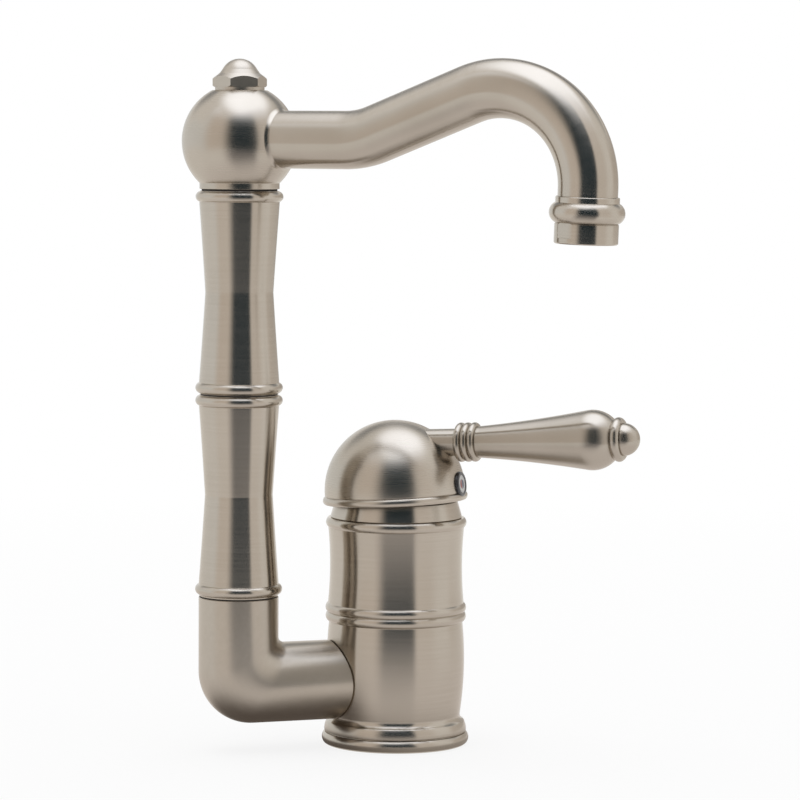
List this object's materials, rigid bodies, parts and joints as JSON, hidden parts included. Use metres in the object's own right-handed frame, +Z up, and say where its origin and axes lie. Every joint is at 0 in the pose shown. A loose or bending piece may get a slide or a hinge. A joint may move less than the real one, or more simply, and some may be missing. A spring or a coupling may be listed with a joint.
{
  "type": "gooseneck bar faucet",
  "caption": "Satin nickel bar faucet: domed single-lever barrel, side elbow, turned column and a ball-mounted swan-neck spout that swivels.",
  "frame": {"origin": "centre of the barrel's foot on the deck", "axes": "+Z up, parallel to the barrel and the column; the column stands towards -X"},
  "size_m": [0.1591, 0.1515, 0.2593],
  "materials": {
    "nickel": "satin nickel plate, fine brushing round the turned pieces",
    "brass": "machined",
    "steel": "ground stainless",
    "rubber": "smooth nitrile",
    "fibre": "pressed fibre washer",
    "acetal": "moulded acetal",
    "slider_plastic": "moulded, glass filled",
    "alumina": "lapped face",
    "screw_steel": "black oxide",
    "button_black": "glossy",
    "button_pale": "glossy",
    "mark_red": "glossy",
    "mark_blue": "glossy",
    "aerator_plastic": "moulded"
  },
  "bodies": {
    "base": {"base_gasket": "rubber", "base_flange": "nickel", "valve_body": "nickel", "neck_collar": "nickel", "neck_o_ring": "rubber", "cartridge_nut": "brass", "cartridge_shell": "acetal", "cartridge_base": "acetal", "cartridge_seals": "rubber", "fixed_disc": "alumina", "outlet_nipple": "brass", "outlet_o_rings": "rubber", "elbow": "nickel", "elbow_joiner": "brass", "lower_column": "nickel", "column_joiner": "brass", "upper_column": "nickel", "column_washers": "fibre", "swivel_post": "brass", "post_o_rings": "rubber", "swivel_washer": "fibre", "finial_washer": "nickel", "finial_nut": "nickel"},
    "mixer": {"cartridge_rotor": "acetal", "pivot_pin": "steel"},
    "slider": {"disc_carrier": "slider_plastic", "moving_disc": "alumina"},
    "lever": {"lever_dome": "nickel", "lever_spindle": "brass", "set_screw": "screw_steel", "index_plug": "button_black", "index_disc": "button_pale", "hot_mark": "mark_red", "cold_mark": "mark_blue", "lever_stem": "nickel", "handle_rod": "brass", "handle_collar": "nickel", "handle_grip": "nickel", "handle_end_ring": "nickel", "handle_knob": "nickel"},
    "spout": {"spout_ball": "nickel", "spout_tube": "nickel", "nozzle_collar": "nickel", "aerator_housing": "nickel", "aerator_washer": "rubber", "aerator_insert": "aerator_plastic", "aerator_screen": "steel"}
  },
  "joints": [
    {"name": "spout_swivel", "type": "hinge", "parent": "base", "child": "spout", "pos_m": [-0.0625, 0, 0.2287], "axis": [0, 0, 1], "continuous": true},
    {"name": "lever_mix", "type": "hinge", "parent": "base", "child": "mixer", "pos_m": [0, 0, 0.085], "axis": [0, 0, 1], "range_deg": [-50, 50]},
    {"name": "lever_lift", "type": "hinge", "parent": "mixer", "child": "lever", "pos_m": [0, 0, 0.085], "axis": [-0.6428, -0.766, 0], "range_deg": [0, 15]},
    {"name": "disc_slide", "type": "slide", "parent": "mixer", "child": "slider", "axis": [0.766, -0.6428, 0], "range_m": [0, 0.00321]}
  ],
  "couplings": [
    {"joint": "disc_slide", "follows": "lever_lift", "m_per_rad": 0.012256}
  ]
}
